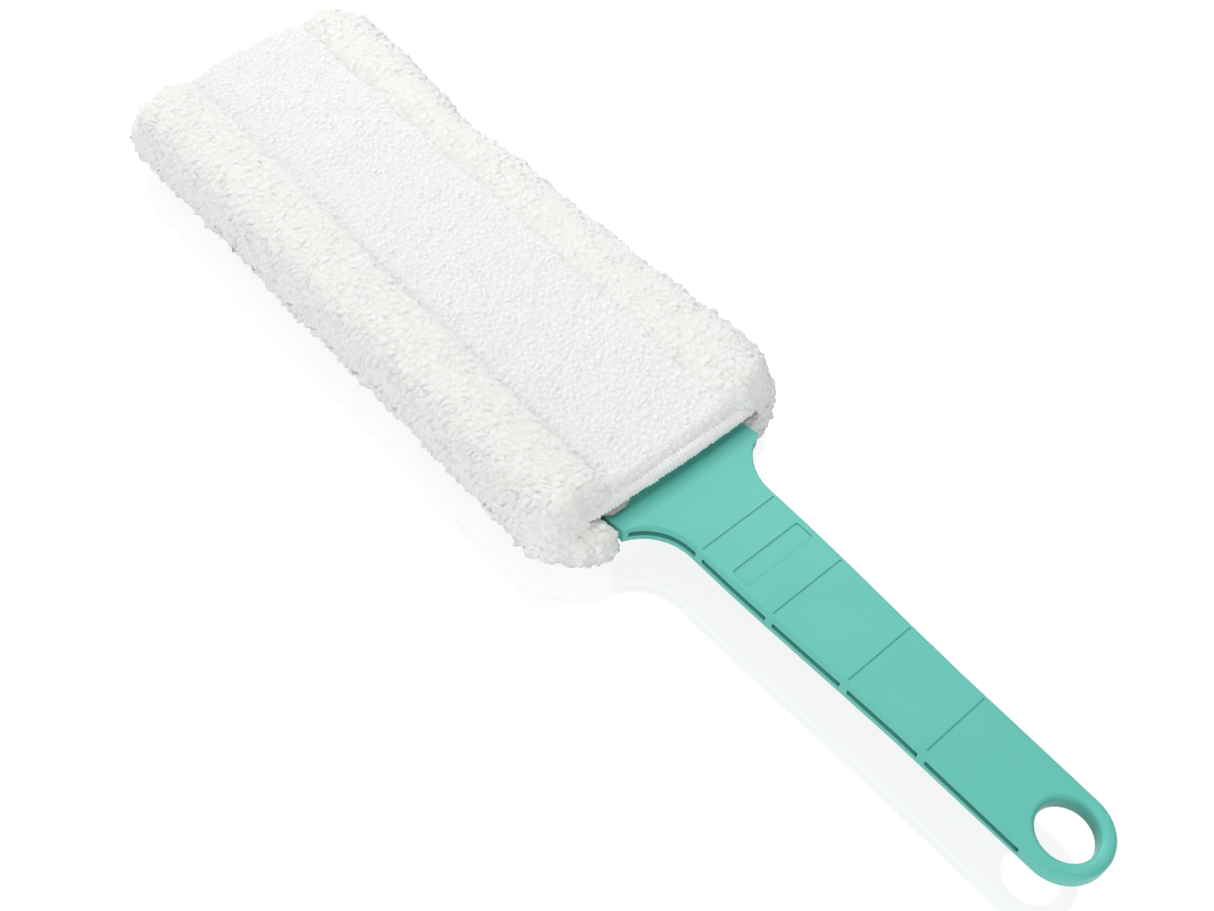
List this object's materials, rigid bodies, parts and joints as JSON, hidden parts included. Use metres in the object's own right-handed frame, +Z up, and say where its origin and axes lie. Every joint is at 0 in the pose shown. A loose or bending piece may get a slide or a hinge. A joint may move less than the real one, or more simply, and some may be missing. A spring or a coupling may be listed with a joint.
{
  "type": "radiator duster",
  "caption": "Flat hand duster with a ringed handle and a pull-off pile sleeve, for cleaning between and behind radiator panels.",
  "frame": {"origin": "on the surface under the sleeve, at the middle of the whole length and on the centre line", "axes": "+X along the handle towards the hang ring, +Z up from the sleeve's underside"},
  "size_m": [0.5982, 0.1492, 0.0408],
  "materials": {
    "handle_plastic": "satin moulded polypropylene, mint green",
    "short_pile_cloth": "short-pile microfibre, white",
    "long_pile_cloth": "long-pile microfibre, white",
    "lining_cloth": "plain knitted backing, light grey",
    "seam_thread": "overlocking thread, white"
  },
  "bodies": {
    "handle": {"handle": "handle_plastic"},
    "sleeve": {"top_panel": "short_pile_cloth", "left_pile_strip": "long_pile_cloth", "right_pile_strip": "long_pile_cloth", "bottom_pile_panel": "long_pile_cloth", "pocket_lining": "lining_cloth", "upper_mouth_hem": "seam_thread", "lower_mouth_hem": "seam_thread", "edge_seam": "seam_thread", "left_panel_seam": "seam_thread", "right_panel_seam": "seam_thread"}
  },
  "joints": [
    {"name": "sleeve_pull_off", "type": "slide", "parent": "handle", "child": "sleeve", "axis": [-1, 0, 0], "range_m": [0, 0.36]}
  ]
}
